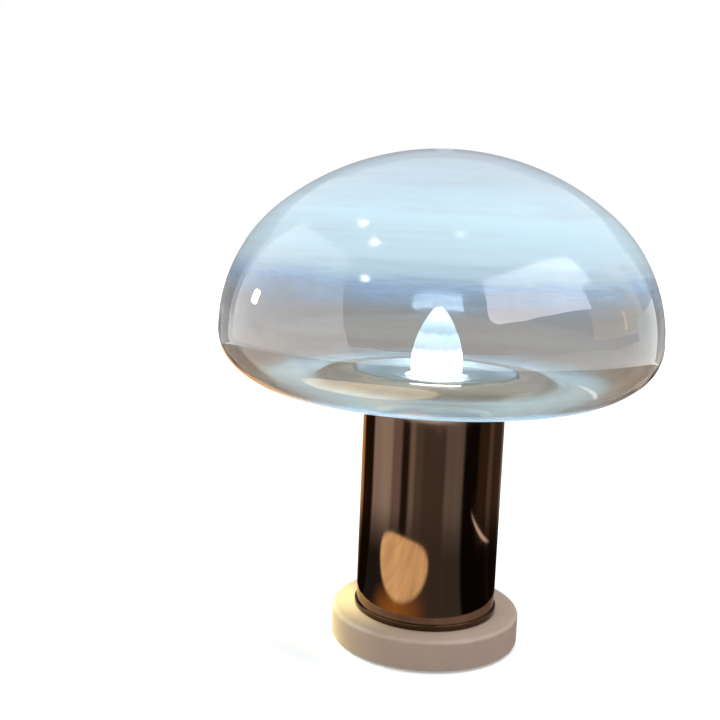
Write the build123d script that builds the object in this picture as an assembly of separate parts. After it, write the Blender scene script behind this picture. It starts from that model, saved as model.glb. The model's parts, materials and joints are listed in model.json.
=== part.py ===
from build123d import *
import math
import os

# Mushroom table lamp: a blown glass dome rests on a metal gallery at the top of a polished stem,
# which stands on a painted disc base. Millimetres, +Z up. The origin is the centre of the foot pad,
# on the table. The cord inlet is at the back, +Y.

# Glass shade
shade_diameter = 300.0
dome_height = 123.0          # widest line up to the crown
dome_side_angle = 50.7       # climb of the dome's side curve before its flatter crown, degrees
skirt_depth = 41.3           # widest line down to the lowest ring of glass
skirt_side_angle = 47.8
lowest_ring_diameter = 191.0
kick_up = 10.3               # lowest ring of glass up to the flat lip
lip_diameter = 133.0         # where the flat lip starts
mouth_diameter = 115.0
glass_wall = 3.0

# Stem and its foot ring
stem_diameter = 98.0
stem_length = 161.1
stem_wall = 1.5
foot_ring_diameter = 100.4
foot_ring_height = 4.2
foot_ring_floor = 1.2        # the tube stands on this
foot_ring_lip = 2.5          # how far the floor reaches in under the tube
shadow_gap = 0.6

# Base
base_diameter = 132.0
base_height = 20.7
base_wall = 5.0
base_roof = 4.0
base_top_round = 2.6
base_bottom_round = 0.8
pad_thickness = 1.5
pad_width = 16.0
cover_thickness = 2.0
cover_ledge = 1.0
ballast_bore = 36.0
ballast_thickness = 10.0
ballast_round = 1.5
cover_round = 0.4

# Gallery, lampholder cup and silicone seat under the shade
gallery_diameter = 133.0
gallery_sheet = 1.5
collar_height = 5.0
collar_sheet = 1.2
spigot_depth = 8.0
spigot_sheet = 1.5
seat_thickness = 1.5
seat_width = 8.0
cup_bore = 42.0
cup_depth = 76.0
cup_sheet = 1.0
cup_flange_diameter = 60.0
vent_diameter = 5.0
vent_count = 6
vent_height = 9.0            # above the cup floor

# Threaded tube through the lamp, with its nuts and washers
tube_diameter = 10.0
tube_bore = 7.2
tube_end_length = 1.0        # how far the tube stands out of its lowest nut
nut_across_flats = 14.0
nut_height = 3.0
washer_diameter = 20.0
washer_thickness = 1.2
centring_plate_height = 3.0
centring_plate_round = 1.0

# Lampholder for a small screw cap
holder_diameter = 28.0
holder_wall = 2.0
holder_cap_height = 16.0
holder_cap_chamfer = 2.0     # inwards, at the cap's foot
holder_cap_chamfer_rise = 4.0
holder_draft = 1.0           # how far the body narrows up to its top
holder_step_rise = 4.0       # insert's top to the step up to the narrow bore
holder_thread_depth = 8.0
contact_rise = 1.8           # insert's top to the bulb's tip
insert_height = 9.0
insert_diameter = 19.0
insert_lift = 1.0            # insert above the joint of cap and body
sleeve_bore = 14.2
sleeve_wall = 0.5
sleeve_length = 20.0
contact_sheet = 0.6
contact_width = 4.0
contact_offset = 6.0         # contact tails and lead ends from the axis
grip_rib_count = 12
grip_rib_width = 1.6
grip_rib_height = 0.6
grip_rib_start = 2.0         # above the joint of cap and body
grip_rib_reach = 0.6         # share of the body's height
grip_rib_sink = 0.985        # share of the body's radius where the ribs have their axes

# Candle bulb
bulb_cap_diameter = 13.8
bulb_cap_length = 21.5
bulb_cap_sheet = 0.3
bulb_tip_diameter = 5.0
bulb_tip_height = 1.0
bulb_insulator_height = 2.0
bulb_housing_height = 20.0
bulb_housing_foot = 16.0
bulb_housing_wall = 1.4
bulb_housing_neck = 6.0      # how far its collar goes down into the cap
bulb_housing_floor = 3.0     # cap's top to the start of the cone inside
bulb_housing_rim = 1.5       # height of the upright rim
bulb_rim_diameter = 33.2
bulb_diameter = 35.4
bulb_bulge_height = 12.0     # envelope's rim up to its widest line
bulb_crown_height = 40.0     # widest line up to its tip
bulb_side_angle = 39.4
envelope_wall = 1.2
board_thickness = 1.2
driver_board_gap = 1.5       # board's width less than the collar's bore
driver_board_drop = 8.0      # below the cap's top
chip_count = 8
chip_size = 3.0
chip_height = 0.7
chip_circle = 17.0

# Wiring and cord inlet
lead_diameter = 2.2
lead_spacing = 2.6
lead_bend = 6.6
lead_bite = 6.0              # lead's bare end inside its terminal
lead_stub = 1.0              # straight out of the terminal, and below the insert
lead_run_in = 3.0            # straight before it turns up into the tube
lead_rise = 0.5              # above the tube before it turns out
pole_spacing = 8.0
pole_height = 9.2
block_length = 15.0
block_width = 19.0
block_gap = 4.0              # terminal block to the cord clamp
block_lift = 1.5             # above the bottom cover
block_screw_floor = 3.0      # thickness under the block screw's head
barrel_diameter = 4.8
barrel_bore = 3.0
barrel_length = 13.0
terminal_screw_diameter = 2.4
terminal_screw_lift = 2.0    # above the bottom cover
inlet_height = 10.5
cord_bore = 6.2
bush_diameter = 8.4
bush_flange_diameter = 12.0
bush_flange_thickness = 1.2
inlet_flat = 3.0             # thickness added inside the wall, for the nut to bear on
inlet_flat_width = 17.0
inlet_nut_across_flats = 13.0
inlet_nut_thickness = 2.5
clamp_width = 22.0
clamp_length = 8.0
clamp_gap = 5.5              # clamp to the inner end of the bush
clamp_floor = 1.4
clamp_round = 1.5
block_round = 1.0
clamp_screw_spacing = 15.0

# Small screws
screw_diameter = 3.0
screw_head_diameter = 5.6
screw_head_height = 1.6
screw_slot_width = 0.8
screw_slot_depth = 0.5
cover_screw_length = 10.0
cover_screw_inset = 9.0      # from the wall of the base's cavity
cover_screw_angles = (-90.0, 30.0, 150.0)
boss_diameter = 8.0
ballast_screw_angles = (-90.0, 0.0, 180.0)
screw_bite = 2.8             # thread in the base roof

# Clearances
thread_clearance = 0.05
slip_clearance = 0.2
loose_clearance = 0.3
hole_clearance = 0.25
ballast_clearance = 1.0
slot_clearance = 2.5

# Heights worked out from the table up
cover_top = pad_thickness + cover_thickness
base_top = pad_thickness + base_height
roof_underside = base_top - base_roof
tube_seat = base_top + foot_ring_floor
stem_top = tube_seat + stem_length
gallery_top = stem_top + gallery_sheet
lip_underside = gallery_top + seat_thickness
widest_height = lip_underside - kick_up + skirt_depth
crown_height = widest_height + dome_height
cup_underside = gallery_top - cup_depth
cup_floor = cup_underside + cup_sheet
holder_joint = cup_floor + holder_cap_height
insert_underside = holder_joint + insert_lift
insert_top = insert_underside + insert_height
bulb_bottom = insert_top + contact_rise
bulb_tip_top = bulb_bottom + bulb_tip_height
bulb_cap_bottom = bulb_tip_top + bulb_insulator_height
bulb_cap_top = bulb_cap_bottom + bulb_cap_length
holder_top = bulb_cap_top - loose_clearance
bulb_rim = bulb_cap_top + bulb_housing_height
bulb_widest = bulb_rim + bulb_bulge_height
lower_nut_bottom = roof_underside - washer_thickness - nut_height
threaded_tube_bottom = lower_nut_bottom - tube_end_length
threaded_tube_top = cup_floor + holder_thread_depth - tube_end_length
lead_run_height = threaded_tube_bottom - lead_bend

# Radii worked out from the diameters
stem_radius = stem_diameter / 2
stem_inner_radius = stem_radius - stem_wall
base_radius = base_diameter / 2
cavity_radius = base_radius - base_wall
mouth_radius = mouth_diameter / 2
collar_radius = mouth_radius - glass_wall / 2
cup_radius = cup_bore / 2 + cup_sheet
tube_hole_radius = tube_diameter / 2 + hole_clearance
cover_screw_radius = cavity_radius - cover_screw_inset
ballast_radius = cover_screw_radius - boss_diameter / 2 - ballast_clearance
ballast_screw_radius = (ballast_bore / 2 + ballast_radius) / 2

# Places along the cord's way in, from the wall inwards
inlet_face = cavity_radius - inlet_flat
bush_inner_end = inlet_face - inlet_nut_thickness - tube_end_length
clamp_front = bush_inner_end - clamp_gap - clamp_length
block_front = clamp_front - block_gap - block_length


def turned(points, rounds=None):
    # A solid of revolution from (radius, height) points, with the numbered corners rounded
    face = make_face(Polyline(*points, close=True))
    for index, radius in (rounds or {}).items():
        corner = face.vertices().sort_by_distance((*points[index], 0))[0]
        face = fillet(corner, radius)
    return revolve(Plane.XZ * face, Axis.Z)


def rod(radius, bottom, top, x=0.0, y=0.0):
    upward = (Align.CENTER, Align.CENTER, Align.MIN)
    return Pos(x, y, bottom) * Cylinder(radius, top - bottom, align=upward)


def ring(outer_radius, inner_radius, bottom, top):
    return rod(outer_radius, bottom, top) - rod(inner_radius, bottom, top)


def block(x_size, y_low, y_high, bottom, top, x=0.0):
    from_corner = (Align.CENTER, Align.MIN, Align.MIN)
    return Pos(x, y_low, bottom) * Box(x_size, y_high - y_low, top - bottom, align=from_corner)


def bar_along_y(radius, y_low, y_high, height, x=0.0):
    upward = (Align.CENTER, Align.CENTER, Align.MIN)
    lying = Plane((x, y_low, height), x_dir=(1, 0, 0), z_dir=(0, 1, 0))
    return lying * Cylinder(radius, y_high - y_low, align=upward)


def on_circle(radius, angles):
    spots = []
    for angle in angles:
        turn = math.radians(angle)
        spots.append((radius * math.cos(turn), radius * math.sin(turn)))
    return spots


def even_angles(count):
    return [360.0 / count * number for number in range(count)]


def hex_nut(across_flats, bottom, height, bore_radius):
    nut = extrude(Pos(0, 0, bottom) * RegularPolygon(across_flats / 2, 6, major_radius=False), height)
    return nut - rod(bore_radius, bottom, bottom + height)


def countersunk_screw(x, y, head_face, tip):
    # The head's flat face looks down
    head = screw_head_diameter / 2
    shank = screw_diameter / 2
    depth = head - shank
    outline = [(0, 0), (head, 0), (shank, depth), (shank, tip - head_face), (0, tip - head_face)]
    return Pos(x, y, head_face) * turned(outline)


def countersunk_hole(x, y, head_face, top):
    head = screw_head_diameter / 2 + hole_clearance
    shank = screw_diameter / 2 + hole_clearance
    depth = head - shank
    outline = [(0, 0), (head, 0), (shank, depth), (shank, top - head_face), (0, top - head_face)]
    return Pos(x, y, head_face) * turned(outline)


def pan_screw(x, y, seat, tip):
    # The head hangs below its seat
    shank = rod(screw_diameter / 2, seat, tip, x, y)
    head = rod(screw_head_diameter / 2, seat - screw_head_height, seat, x, y)
    slot = Pos(x, y, seat - screw_head_height) * Box(screw_head_diameter, screw_slot_width, 2 * screw_slot_depth)
    return shank + head - slot


# ---------------------------------------------------------------- shade

def oval_arcs(centre, width, height, meet, turn=1):
    # Two tangent arcs from the side of an oval up to its top, or with turn -1 down to its foot.
    # They meet where the side arc has climbed the angle meet.
    x, y = centre
    angle = math.radians(meet)
    radius_step = (width - height) / (math.cos(angle) + math.sin(angle) - 1)
    side_radius = width - radius_step * math.cos(angle)
    top_radius = side_radius + radius_step
    side = CenterArc((x + width - side_radius, y), side_radius, 0, turn * meet)
    top = CenterArc((x, y + turn * (height - top_radius)), top_radius, turn * meet, turn * (90 - meet))
    return side, top


def shade_skin(inset):
    # One skin of the glass, inset from the outer one: dome, skirt, and the bend up to the lip
    ring_radius = lowest_ring_diameter / 2
    lip_radius = lip_diameter / 2
    bend_width = ring_radius - lip_radius
    bend_radius = (bend_width ** 2 + kick_up ** 2) / (4 * kick_up)
    bend_angle = math.degrees(math.asin(bend_width / 2 / bend_radius))
    radius = shade_diameter / 2 - inset
    dome = oval_arcs((0, widest_height), radius, dome_height - inset, dome_side_angle)
    skirt = oval_arcs((ring_radius, widest_height), radius - ring_radius, skirt_depth - inset,
                      skirt_side_angle, -1)
    lowest = lip_underside - kick_up
    low_bend = CenterArc((ring_radius, lowest + bend_radius), bend_radius - inset, 270, -bend_angle)
    high_bend = CenterArc((lip_radius, lip_underside - bend_radius), bend_radius + inset,
                          90 - bend_angle, bend_angle)
    lip_start = mouth_radius + glass_wall / 2
    height = lip_underside + inset
    flat = Line((lip_radius, height), (lip_start, height))
    return [*dome, *skirt, low_bend, high_bend, flat]


def shade_profile():
    lip_start = mouth_radius + glass_wall / 2
    lip_end = ThreePointArc((lip_start, lip_underside), (mouth_radius, lip_underside + glass_wall / 2),
                            (lip_start, lip_underside + glass_wall))
    crown = Line((0, crown_height - glass_wall), (0, crown_height))
    return make_face([*shade_skin(0), lip_end, *shade_skin(glass_wall), crown])


def glass_shade():
    return revolve(Plane.XZ * shade_profile(), Axis.Z)


def seat_ring():
    inner = mouth_radius + loose_clearance
    return ring(inner + seat_width, inner, gallery_top, lip_underside)


def shade_gallery():
    # Spun dish: a flat flange for the seat, a collar that centres the glass, and a spigot for the stem
    rim = gallery_diameter / 2
    hole = cup_radius + loose_clearance
    flange = turned([(hole, stem_top), (rim, stem_top), (rim, gallery_top), (hole, gallery_top)],
                    {2: gallery_sheet * 0.6})
    collar = ring(collar_radius, collar_radius - collar_sheet, gallery_top, gallery_top + collar_height)
    spigot_radius = stem_inner_radius - slip_clearance
    spigot = ring(spigot_radius, spigot_radius - spigot_sheet, stem_top - spigot_depth, stem_top)
    return flange + collar + spigot


def holder_cup():
    # Deep-drawn cup whose flange sits on the gallery; the tube's upper nut pulls it down
    inner = cup_bore / 2
    flange = cup_flange_diameter / 2
    flange_top = gallery_top + cup_sheet
    outline = [(tube_hole_radius, cup_underside), (cup_radius, cup_underside), (cup_radius, gallery_top),
               (flange, gallery_top), (flange, flange_top), (inner, flange_top), (inner, cup_floor),
               (tube_hole_radius, cup_floor)]
    cup = turned(outline, {1: 3 * cup_sheet, 6: 2 * cup_sheet, 5: 0.8 * cup_sheet})
    for x, y in on_circle(cup_radius, even_angles(vent_count)):
        across = Plane((0, 0, cup_floor + vent_height), z_dir=(x, y, 0))
        upward = (Align.CENTER, Align.CENTER, Align.MIN)
        cup -= across * Cylinder(vent_diameter / 2, 2 * cup_radius, align=upward)
    return cup


# ---------------------------------------------------------------- stem

def stem_tube():
    return turned([(stem_inner_radius, tube_seat), (stem_radius, tube_seat), (stem_radius, stem_top),
                   (stem_inner_radius, stem_top)], {2: stem_wall * 0.4})


def foot_ring():
    outer = foot_ring_diameter / 2
    bore = stem_radius + thread_clearance
    floor_inner = stem_inner_radius - foot_ring_lip
    plinth = outer - 1.5 * shadow_gap
    top = base_top + foot_ring_height
    outline = [(floor_inner, base_top), (plinth, base_top), (plinth, base_top + shadow_gap),
               (outer, base_top + shadow_gap), (outer, top), (bore, top), (bore, tube_seat),
               (floor_inner, tube_seat)]
    return turned(outline, {4: shadow_gap})


def centring_plate():
    # Stepped disc inside the stem, which holds the foot ring down and centres ring and tube
    step = stem_inner_radius - foot_ring_lip - slip_clearance
    rim = stem_inner_radius - slip_clearance
    top = tube_seat + centring_plate_height
    return turned([(tube_hole_radius, base_top), (step, base_top), (step, tube_seat), (rim, tube_seat),
                   (rim, top), (tube_hole_radius, top)], {4: centring_plate_round})


def threaded_tube():
    return ring(tube_diameter / 2, tube_bore / 2, threaded_tube_bottom, threaded_tube_top)


def tube_nut(bottom):
    return hex_nut(nut_across_flats, bottom, nut_height, tube_diameter / 2 + thread_clearance)


def tube_washer(bottom):
    return ring(washer_diameter / 2, tube_hole_radius, bottom, bottom + washer_thickness)


# ---------------------------------------------------------------- base

def base_disc():
    ledge_radius = cavity_radius - cover_ledge
    outline = [(tube_hole_radius, roof_underside), (ledge_radius, roof_underside), (ledge_radius, cover_top),
               (cavity_radius, cover_top), (cavity_radius, pad_thickness), (base_radius, pad_thickness),
               (base_radius, base_top), (tube_hole_radius, base_top)]
    body = turned(outline, {5: base_bottom_round, 6: base_top_round})
    for x, y in on_circle(cover_screw_radius, cover_screw_angles):
        body += rod(boss_diameter / 2, cover_top, roof_underside, x, y)
    body += block(inlet_flat_width, inlet_face, cavity_radius, cover_top, roof_underside)
    body += block(clamp_width, clamp_front, clamp_front + clamp_length,
                  inlet_height + cord_bore / 2, roof_underside)
    pilot = screw_diameter / 2 + thread_clearance
    for x, y in on_circle(cover_screw_radius, cover_screw_angles):
        body -= rod(pilot, cover_top, pad_thickness + cover_screw_length + hole_clearance, x, y)
    for x, y in on_circle(ballast_screw_radius, ballast_screw_angles):
        body -= rod(pilot, roof_underside, roof_underside + screw_bite + hole_clearance, x, y)
    for x, y in clamp_screw_spots():
        body -= rod(pilot, inlet_height + cord_bore / 2, roof_underside + screw_bite + hole_clearance, x, y)
    x, y = block_screw_spot()
    body -= rod(pilot, roof_underside, roof_underside + screw_bite + hole_clearance, x, y)
    body -= bar_along_y(bush_diameter / 2 + thread_clearance, inlet_face - 1, base_radius + 1, inlet_height)
    return body


def ballast_plate():
    bottom = roof_underside - ballast_thickness
    plate = turned([(ballast_bore / 2, bottom), (ballast_radius, bottom),
                    (ballast_radius, roof_underside), (ballast_bore / 2, roof_underside)], {1: ballast_round})
    slot_width = max(block_width, clamp_width) + 2 * slot_clearance
    plate -= block(slot_width, 0, 2 * ballast_radius, bottom, roof_underside)
    for x, y in on_circle(ballast_screw_radius, ballast_screw_angles):
        plate -= countersunk_hole(x, y, bottom, roof_underside)
    return plate


def ballast_screws():
    bottom = roof_underside - ballast_thickness
    return [countersunk_screw(x, y, bottom, roof_underside + screw_bite)
            for x, y in on_circle(ballast_screw_radius, ballast_screw_angles)]


def bottom_cover():
    cover = rod(cavity_radius - slip_clearance, pad_thickness, cover_top)
    cover = fillet(cover.edges().group_by(Axis.Z)[0], cover_round)
    for x, y in on_circle(cover_screw_radius, cover_screw_angles):
        cover -= countersunk_hole(x, y, pad_thickness, cover_top)
    return cover


def cover_screws():
    return [countersunk_screw(x, y, pad_thickness, pad_thickness + cover_screw_length)
            for x, y in on_circle(cover_screw_radius, cover_screw_angles)]


def foot_pad():
    pad = ring(cover_screw_radius + pad_width / 2, cover_screw_radius - pad_width / 2, 0, pad_thickness)
    for x, y in on_circle(cover_screw_radius, cover_screw_angles):
        pad -= rod(screw_head_diameter / 2 + 3 * hole_clearance, 0, pad_thickness, x, y)
    return pad


# ---------------------------------------------------------------- cord inlet and terminals

def cord_bush():
    body = bar_along_y(bush_diameter / 2, bush_inner_end, base_radius, inlet_height)
    flange = bar_along_y(bush_flange_diameter / 2, base_radius, base_radius + bush_flange_thickness,
                         inlet_height)
    flange = fillet(flange.edges().group_by(Axis.Y)[-1], bush_flange_thickness * 0.6)
    hole = bar_along_y(cord_bore / 2, bush_inner_end, base_radius + bush_flange_thickness, inlet_height)
    return body + flange - hole


def inlet_nut():
    facing = Plane((0, inlet_face, inlet_height), x_dir=(1, 0, 0), z_dir=(0, -1, 0))
    nut = hex_nut(inlet_nut_across_flats, 0, inlet_nut_thickness, bush_diameter / 2 + thread_clearance)
    return facing * nut


def clamp_screw_spots():
    middle = clamp_front + clamp_length / 2
    return [(-clamp_screw_spacing / 2, middle), (clamp_screw_spacing / 2, middle)]


def cord_clamp():
    # Saddle with a round-bottomed trough that presses the cord against the pad above it
    bottom = inlet_height - cord_bore / 2 - clamp_floor
    top = inlet_height + cord_bore / 2
    saddle = block(clamp_width, clamp_front, clamp_front + clamp_length, bottom, top)
    saddle = fillet(saddle.edges().filter_by(Axis.Z), clamp_round)
    saddle -= bar_along_y(cord_bore / 2, clamp_front, clamp_front + clamp_length, inlet_height)
    saddle -= block(cord_bore, clamp_front, clamp_front + clamp_length, inlet_height, top)
    for x, y in clamp_screw_spots():
        saddle -= rod(screw_diameter / 2 + hole_clearance, bottom, top, x, y)
    return saddle


def clamp_screws():
    seat = inlet_height - cord_bore / 2 - clamp_floor
    return [pan_screw(x, y, seat, roof_underside + screw_bite) for x, y in clamp_screw_spots()]


def block_screw_spot():
    return 0.0, block_front + block_length / 2


def pole_spots():
    return [-pole_spacing / 2, pole_spacing / 2]


def terminal_screw_spots():
    spots = []
    for x in pole_spots():
        for share in (0.25, 0.75):
            spots.append((x, block_front + share * block_length))
    return spots


def terminal_block():
    bottom = cover_top + block_lift
    back = block_front + block_length
    body = block(block_width, block_front, back, bottom, roof_underside)
    body = fillet(body.edges().filter_by(Axis.Z), block_round)
    for x in pole_spots():
        body -= bar_along_y(barrel_diameter / 2 + thread_clearance, block_front, back, pole_height, x)
    for x, y in terminal_screw_spots():
        body -= rod(terminal_screw_diameter / 2 + hole_clearance, bottom, pole_height, x, y)
    x, y = block_screw_spot()
    body -= rod(screw_head_diameter / 2 + hole_clearance, bottom, roof_underside - block_screw_floor, x, y)
    body -= rod(screw_diameter / 2 + hole_clearance, bottom, roof_underside, x, y)
    return body


def block_screw():
    x, y = block_screw_spot()
    return pan_screw(x, y, roof_underside - block_screw_floor, roof_underside + screw_bite)


def terminal_barrels():
    barrels = []
    start = block_front + (block_length - barrel_length) / 2
    for x in pole_spots():
        barrel = bar_along_y(barrel_diameter / 2, start, start + barrel_length, pole_height, x)
        barrel -= bar_along_y(barrel_bore / 2, start, start + barrel_length, pole_height, x)
        for spot_x, spot_y in terminal_screw_spots():
            hole = terminal_screw_diameter / 2 + thread_clearance
            barrel -= rod(hole, pole_height - barrel_diameter, pole_height, spot_x, spot_y)
        barrels.append(barrel)
    return barrels


def terminal_screws():
    tip = pole_height - lead_diameter / 2 - thread_clearance
    return [rod(terminal_screw_diameter / 2, cover_top + terminal_screw_lift, tip, x, y)
            for x, y in terminal_screw_spots()]


def lead(side):
    # From its terminal, across to the tube, up the tube and out to its contact
    inner = side * lead_spacing / 2
    pole = side * pole_spacing / 2
    contact = side * contact_offset
    hole_end = insert_underside + insert_height / 2 - loose_clearance
    route = [(pole, block_front + lead_bite, pole_height), (pole, block_front - lead_stub, pole_height),
             (inner, lead_bend + lead_run_in, lead_run_height), (inner, 0, lead_run_height),
             (inner, 0, threaded_tube_top + lead_rise), (contact, 0, insert_underside - lead_stub),
             (contact, 0, hole_end)]
    path = FilletPolyline(*route, radius=lead_bend)
    start = Plane(path @ 0, z_dir=path % 0)
    return sweep(start * Circle(lead_diameter / 2), path)


# ---------------------------------------------------------------- lampholder

def holder_cap():
    outer = holder_diameter / 2
    inner = outer - holder_wall
    bore = tube_diameter / 2 + thread_clearance
    shoulder = cup_floor + holder_thread_depth
    foot = outer - holder_cap_chamfer
    return turned([(bore, cup_floor), (foot, cup_floor), (outer, cup_floor + holder_cap_chamfer_rise),
                   (outer, holder_joint), (inner, holder_joint), (inner, shoulder), (bore, shoulder)],
                  {1: holder_cap_chamfer / 2, 2: holder_cap_chamfer})


def holder_body():
    # Moulded sleeve with grip ribs: wide below for the insert, narrow above for the threaded sleeve
    outer = holder_diameter / 2 - grip_rib_height
    wide = insert_diameter / 2 + slip_clearance
    narrow = sleeve_bore / 2 + sleeve_wall + thread_clearance
    step = insert_top + holder_step_rise
    body = turned([(wide, holder_joint), (outer, holder_joint), (outer - holder_draft, holder_top),
                   (narrow, holder_top), (narrow, step), (wide, step)],
                  {2: holder_draft, 3: 0.4 * holder_draft})
    rib_bottom = holder_joint + grip_rib_start
    rib_top = holder_joint + (holder_top - holder_joint) * grip_rib_reach
    for x, y in on_circle(outer * grip_rib_sink, even_angles(grip_rib_count)):
        body += rod(grip_rib_width / 2, rib_bottom, rib_top, x, y)
    return body


def holder_insert():
    insert = turned([(0, insert_underside), (insert_diameter / 2, insert_underside),
                     (insert_diameter / 2, insert_top), (0, insert_top)], {2: 0.6})
    middle = insert_underside + insert_height / 2
    slot_depth = contact_sheet + 2 * slip_clearance
    for side in (-1, 1):
        insert -= rod(lead_diameter / 2 + slip_clearance, insert_underside, middle, side * contact_offset)
        insert -= block(slot_depth, -contact_width / 2 - slip_clearance, contact_width / 2 + slip_clearance,
                        middle, insert_top, side * contact_offset)
    return insert


def centre_contact():
    # Leaf under the bulb's tip, with its tail down in the insert
    middle = insert_underside + insert_height / 2
    half = contact_width / 2
    tail = block(contact_sheet, -half, half, middle, insert_top, -contact_offset)
    start = -contact_offset - contact_sheet / 2
    length = contact_offset + bulb_tip_diameter / 2
    leaf = block(length, -half, half, insert_top, insert_top + contact_sheet, start + length / 2)
    bump = rod(contact_width / 2 - 0.4, insert_top + contact_sheet, bulb_bottom - loose_clearance)
    return tail + leaf + bump


def side_contact():
    # Strip from the insert out and up to the foot of the threaded sleeve
    middle = insert_underside + insert_height / 2
    half = contact_width / 2
    tail = block(contact_sheet, -half, half, middle, insert_top, contact_offset)
    start = contact_offset - contact_sheet / 2
    end = sleeve_bore / 2 + sleeve_wall * 0.8
    foot = block(end - start, -half, half, insert_top, insert_top + contact_sheet, (start + end) / 2)
    riser = block(sleeve_wall * 0.6, -half / 2, half / 2, insert_top + contact_sheet, sleeve_bottom(),
                  end - sleeve_wall * 0.3)
    return tail + foot + riser


def sleeve_bottom():
    return holder_top - sleeve_length


def thread_sleeve():
    radius = sleeve_bore / 2
    return ring(radius + sleeve_wall, radius, sleeve_bottom(), holder_top - loose_clearance)


# ---------------------------------------------------------------- bulb

def bulb_tip():
    return turned([(0, bulb_bottom), (bulb_tip_diameter / 2, bulb_bottom),
                   (bulb_tip_diameter / 2, bulb_tip_top), (0, bulb_tip_top)], {1: bulb_tip_height * 0.6})


def bulb_insulator():
    cap_inner = bulb_cap_diameter / 2 - bulb_cap_sheet
    return turned([(0, bulb_tip_top), (bulb_tip_diameter / 2, bulb_tip_top), (cap_inner, bulb_cap_bottom),
                   (0, bulb_cap_bottom)])


def bulb_cap():
    outer = bulb_cap_diameter / 2
    return turned([(0, bulb_cap_bottom), (outer, bulb_cap_bottom), (outer, bulb_cap_top),
                   (outer - bulb_cap_sheet, bulb_cap_top),
                   (outer - bulb_cap_sheet, bulb_cap_bottom + bulb_cap_sheet),
                   (0, bulb_cap_bottom + bulb_cap_sheet)], {1: bulb_cap_sheet * 0.8})


def bulb_housing():
    # Moulded cone, hollow for the driver board, with a collar that goes down into the cap
    collar = bulb_cap_diameter / 2 - bulb_cap_sheet - thread_clearance
    foot = bulb_housing_foot / 2
    rim = bulb_rim_diameter / 2
    wall = bulb_housing_wall
    floor = bulb_cap_top - bulb_housing_neck
    return turned([(collar - wall, floor), (collar, floor), (collar, bulb_cap_top), (foot, bulb_cap_top),
                   (rim, bulb_rim - bulb_housing_rim), (rim, bulb_rim), (rim - wall, bulb_rim),
                   (collar - wall, bulb_cap_top + bulb_housing_floor)], {4: 2 * bulb_housing_rim / 3})


def driver_board():
    width = bulb_cap_diameter - 2 * bulb_cap_sheet - 2 * bulb_housing_wall - driver_board_gap
    bottom = bulb_cap_top - driver_board_drop
    return block(width, -board_thickness / 2, board_thickness / 2, bottom, bulb_rim)


def led_board():
    radius = bulb_rim_diameter / 2 - envelope_wall - loose_clearance
    return rod(radius, bulb_rim, bulb_rim + board_thickness)


def led_chips():
    bottom = bulb_rim + board_thickness
    lifted = (Align.CENTER, Align.CENTER, Align.MIN)
    chips = []
    for x, y in on_circle(chip_circle / 2, even_angles(chip_count)):
        chips.append(Pos(x, y, bottom) * Box(chip_size, chip_size, chip_height, align=lifted))
    return chips


def envelope_skin(inset):
    # Half outline of the envelope: a slow swell from the rim, then the long crown with its round tip
    widest = bulb_diameter / 2
    swell = widest - bulb_rim_diameter / 2
    swell_radius = (swell ** 2 + bulb_bulge_height ** 2) / (2 * swell)
    start = math.degrees(math.asin(bulb_bulge_height / swell_radius))
    lower = CenterArc((widest - swell_radius, bulb_widest), swell_radius - inset, -start, start)
    upper = oval_arcs((0, bulb_widest), widest - inset, bulb_crown_height - inset, bulb_side_angle)
    return [lower, *upper]


def bulb_envelope():
    outer = envelope_skin(0)
    inner = envelope_skin(envelope_wall)
    rim_line = Line(inner[0] @ 0, outer[0] @ 0)
    tip_line = Line(inner[-1] @ 1, outer[-1] @ 1)
    half = make_face([rim_line, *outer, tip_line, *inner])
    return revolve(Plane.XZ * half, Axis.Z)


PARTS = {
    "glass_shade": glass_shade,
    "seat_ring": seat_ring,
    "shade_gallery": shade_gallery,
    "holder_cup": holder_cup,
    "stem_tube": stem_tube,
    "foot_ring": foot_ring,
    "centring_plate": centring_plate,
    "threaded_tube": threaded_tube,
    "base_washer": lambda: tube_washer(roof_underside - washer_thickness),
    "base_nut": lambda: tube_nut(lower_nut_bottom),
    "plate_washer": lambda: tube_washer(tube_seat + centring_plate_height),
    "plate_nut": lambda: tube_nut(tube_seat + centring_plate_height + washer_thickness),
    "cup_washer": lambda: tube_washer(cup_underside - washer_thickness),
    "cup_nut": lambda: tube_nut(cup_underside - washer_thickness - nut_height),
    "base_disc": base_disc,
    "ballast_plate": ballast_plate,
    "ballast_screws": ballast_screws,
    "bottom_cover": bottom_cover,
    "cover_screws": cover_screws,
    "foot_pad": foot_pad,
    "cord_bush": cord_bush,
    "inlet_nut": inlet_nut,
    "cord_clamp": cord_clamp,
    "clamp_screws": clamp_screws,
    "terminal_block": terminal_block,
    "block_screw": block_screw,
    "terminal_barrels": terminal_barrels,
    "terminal_screws": terminal_screws,
    "live_lead": lambda: lead(-1),
    "neutral_lead": lambda: lead(1),
    "holder_cap": holder_cap,
    "holder_body": holder_body,
    "holder_insert": holder_insert,
    "centre_contact": centre_contact,
    "side_contact": side_contact,
    "thread_sleeve": thread_sleeve,
    "bulb_tip": bulb_tip,
    "bulb_insulator": bulb_insulator,
    "bulb_cap": bulb_cap,
    "bulb_housing": bulb_housing,
    "driver_board": driver_board,
    "led_board": led_board,
    "led_chips": led_chips,
    "bulb_envelope": bulb_envelope,
}

os.makedirs("parts", exist_ok=True)
for name, make in PARTS.items():
    shape = make()
    if isinstance(shape, list):
        shape = Compound(children=shape)
    export_step(shape, f"parts/{name}.step")
    print(f"{name}: {shape.volume:.1f} mm3")
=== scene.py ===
"""Looks of the mushroom table lamp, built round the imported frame. Metres, +Z up, -Y to the front."""
import json
import logging
import math
from dataclasses import dataclass
from enum import Enum
from typing import Sequence

import bpy
from mathutils import Matrix, Vector

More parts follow.
